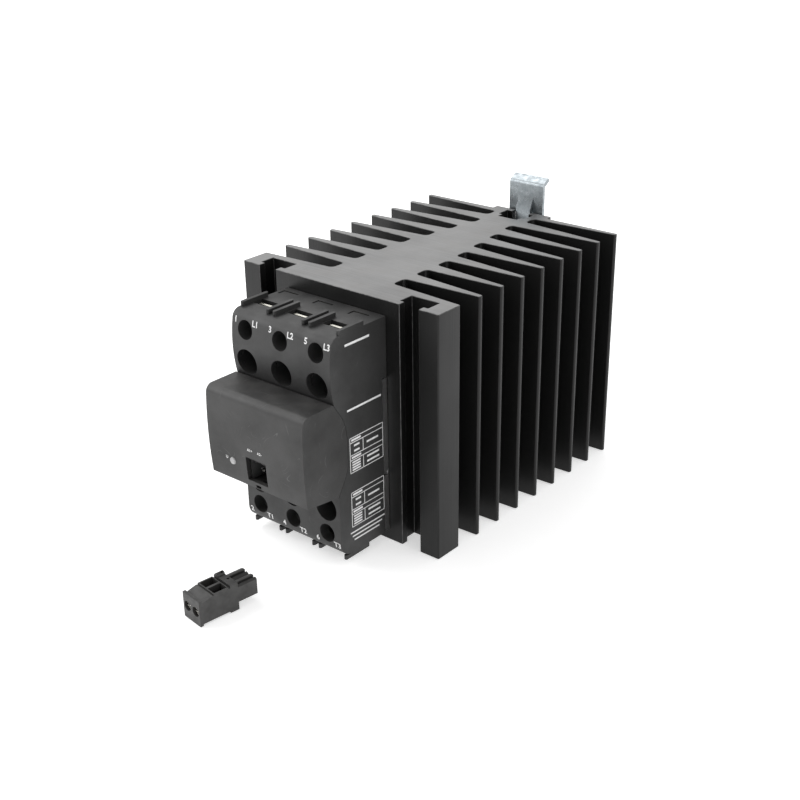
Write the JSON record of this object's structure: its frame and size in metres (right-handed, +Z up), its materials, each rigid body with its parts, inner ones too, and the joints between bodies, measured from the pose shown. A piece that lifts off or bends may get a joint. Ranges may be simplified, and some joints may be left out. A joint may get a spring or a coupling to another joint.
{
  "type": "solid state relay",
  "caption": "Three-pole solid state relay with screw clamps on a finned black heat sink with a DIN rail clip, and a loose two-pole control plug.",
  "frame": {"origin": "centre of the heat sink's footprint on its bottom end", "axes": "+Z up along the extrusion, +X right seen from the front, +Y back towards the DIN rail; the relay and its plug are at -Y"},
  "size_m": [0.099, 0.2158, 0.1149],
  "materials": {
    "anodised_aluminium": "satin black anodised extrusion",
    "zinc_plated_steel": "bright zinc plating",
    "dark_steel": "oiled steel",
    "spring_steel": "drawn wire",
    "thermal_sheet": "soft grey sheet",
    "base_aluminium": "milled",
    "blackened_steel": "black oxide",
    "housing_plastic": "fine matte moulding",
    "cover_plastic": "fine matte moulding with handling scratches",
    "board_laminate": "green solder mask",
    "header_plastic": "moulded",
    "tin_plate": "tin plated",
    "led_epoxy": "clear epoxy",
    "lens_plastic": "diffusing",
    "chip_plastic": "moulded epoxy",
    "part_ceramic": "sintered",
    "alumina": "fired ceramic",
    "bare_copper": "bonded copper",
    "silicon": "polished die",
    "tinned_copper": "tinned",
    "cage_steel": "nickel plated",
    "plug_plastic": "fine moulding",
    "screw_steel": "zinc plated, slightly worn"
  },
  "bodies": {
    "relay": {"heatsink": "anodised_aluminium", "din_hook": "zinc_plated_steel", "spring_stop": "dark_steel", "latch_spring": "spring_steel", "channel_nuts": "zinc_plated_steel", "hook_screws": "zinc_plated_steel", "thermal_pad": "thermal_sheet", "base_plate": "base_aluminium", "module_screws": "blackened_steel", "module_washers": "zinc_plated_steel", "housing": "housing_plastic", "front_cover": "cover_plastic", "control_board": "board_laminate", "control_header": "header_plastic", "header_pins": "tin_plate", "status_led": "led_epoxy", "led_lens": "lens_plastic", "optocouplers": "chip_plastic", "board_parts": "part_ceramic", "substrates": "alumina", "copper_pads": "bare_copper", "thyristors": "silicon", "cathode_clips": "bare_copper", "gate_pins": "tin_plate", "line_busbars": "tinned_copper", "load_busbars": "tinned_copper", "line_nuts": "cage_steel", "load_nuts": "cage_steel"},
    "latch": {"din_latch": "zinc_plated_steel", "latch_runner": "dark_steel"},
    "plate_1": {"clamp_plate_1": "cage_steel"},
    "screw_1": {"clamp_screw_1": "screw_steel"},
    "plate_2": {"clamp_plate_2": "cage_steel"},
    "screw_2": {"clamp_screw_2": "screw_steel"},
    "plate_3": {"clamp_plate_3": "cage_steel"},
    "screw_3": {"clamp_screw_3": "screw_steel"},
    "plate_4": {"clamp_plate_4": "cage_steel"},
    "screw_4": {"clamp_screw_4": "screw_steel"},
    "plate_5": {"clamp_plate_5": "cage_steel"},
    "screw_5": {"clamp_screw_5": "screw_steel"},
    "plate_6": {"clamp_plate_6": "cage_steel"},
    "screw_6": {"clamp_screw_6": "screw_steel"},
    "plug": {"plug_housing": "plug_plastic", "plug_contacts": "tin_plate"},
    "plug_cage_1": {"plug_cage_1": "cage_steel"},
    "plug_screw_1": {"plug_screw_1": "screw_steel"},
    "plug_cage_2": {"plug_cage_2": "cage_steel"},
    "plug_screw_2": {"plug_screw_2": "screw_steel"}
  },
  "joints": [
    {"name": "latch_slide", "type": "slide", "parent": "relay", "child": "latch", "axis": [0, 0, 1], "range_m": [0, 0.004], "stiffness_N_per_m": 1000, "springref_m": -0.004, "deforming": ["latch_spring"]},
    {"name": "clamp_slide_1", "type": "slide", "parent": "relay", "child": "plate_1", "axis": [0, 1, 0], "range_m": [-0.001, 0.0022]},
    {"name": "clamp_turn_1", "type": "hinge", "parent": "plate_1", "child": "screw_1", "pos_m": [-0.0178, -0.07945, 0.0875], "axis": [0, 1, 0], "range_deg": [-540, 1080]},
    {"name": "clamp_slide_2", "type": "slide", "parent": "relay", "child": "plate_2", "axis": [0, 1, 0], "range_m": [-0.001, 0.0022]},
    {"name": "clamp_turn_2", "type": "hinge", "parent": "plate_2", "child": "screw_2", "pos_m": [0, -0.07945, 0.0875], "axis": [0, 1, 0], "range_deg": [-540, 1080]},
    {"name": "clamp_slide_3", "type": "slide", "parent": "relay", "child": "plate_3", "axis": [0, 1, 0], "range_m": [-0.001, 0.0022]},
    {"name": "clamp_turn_3", "type": "hinge", "parent": "plate_3", "child": "screw_3", "pos_m": [0.0178, -0.07945, 0.0875], "axis": [0, 1, 0], "range_deg": [-540, 1080]},
    {"name": "clamp_slide_4", "type": "slide", "parent": "relay", "child": "plate_4", "axis": [0, 1, 0], "range_m": [-0.001, 0.0022]},
    {"name": "clamp_turn_4", "type": "hinge", "parent": "plate_4", "child": "screw_4", "pos_m": [-0.0178, -0.07945, 0.0134], "axis": [0, 1, 0], "range_deg": [-540, 1080]},
    {"name": "clamp_slide_5", "type": "slide", "parent": "relay", "child": "plate_5", "axis": [0, 1, 0], "range_m": [-0.001, 0.0022]},
    {"name": "clamp_turn_5", "type": "hinge", "parent": "plate_5", "child": "screw_5", "pos_m": [0, -0.07945, 0.0134], "axis": [0, 1, 0], "range_deg": [-540, 1080]},
    {"name": "clamp_slide_6", "type": "slide", "parent": "relay", "child": "plate_6", "axis": [0, 1, 0], "range_m": [-0.001, 0.0022]},
    {"name": "clamp_turn_6", "type": "hinge", "parent": "plate_6", "child": "screw_6", "pos_m": [0.0178, -0.07945, 0.0134], "axis": [0, 1, 0], "range_deg": [-540, 1080]},
    {"name": "plug_lift", "type": "slide", "parent": "relay", "child": "plug", "axis": [0, 0, 1], "range_m": [0, 0.04]},
    {"name": "plug_cage_slide_1", "type": "slide", "parent": "plug", "child": "plug_cage_1", "axis": [-0.1392, -0.9903, 0], "range_m": [0, 0.0015]},
    {"name": "plug_screw_turn_1", "type": "hinge", "parent": "plug", "child": "plug_screw_1", "pos_m": [0.00397, -0.14689, 0.0053], "axis": [0.1392, 0.9903, 0], "range_deg": [0, 1080]},
    {"name": "plug_cage_slide_2", "type": "slide", "parent": "plug", "child": "plug_cage_2", "axis": [-0.1392, -0.9903, 0], "range_m": [0, 0.0015]},
    {"name": "plug_screw_turn_2", "type": "hinge", "parent": "plug", "child": "plug_screw_2", "pos_m": [0.00901, -0.1476, 0.0053], "axis": [0.1392, 0.9903, 0], "range_deg": [0, 1080]}
  ],
  "couplings": [
    {"joint": "clamp_turn_1", "follows": "clamp_slide_1", "rad_per_m": 7853.9},
    {"joint": "clamp_turn_2", "follows": "clamp_slide_2", "rad_per_m": 7853.9},
    {"joint": "clamp_turn_3", "follows": "clamp_slide_3", "rad_per_m": 7853.9},
    {"joint": "clamp_turn_4", "follows": "clamp_slide_4", "rad_per_m": 7853.9},
    {"joint": "clamp_turn_5", "follows": "clamp_slide_5", "rad_per_m": 7853.9},
    {"joint": "clamp_turn_6", "follows": "clamp_slide_6", "rad_per_m": 7853.9},
    {"joint": "plug_screw_turn_1", "follows": "plug_cage_slide_1", "rad_per_m": 12566},
    {"joint": "plug_screw_turn_2", "follows": "plug_cage_slide_2", "rad_per_m": 12566}
  ]
}
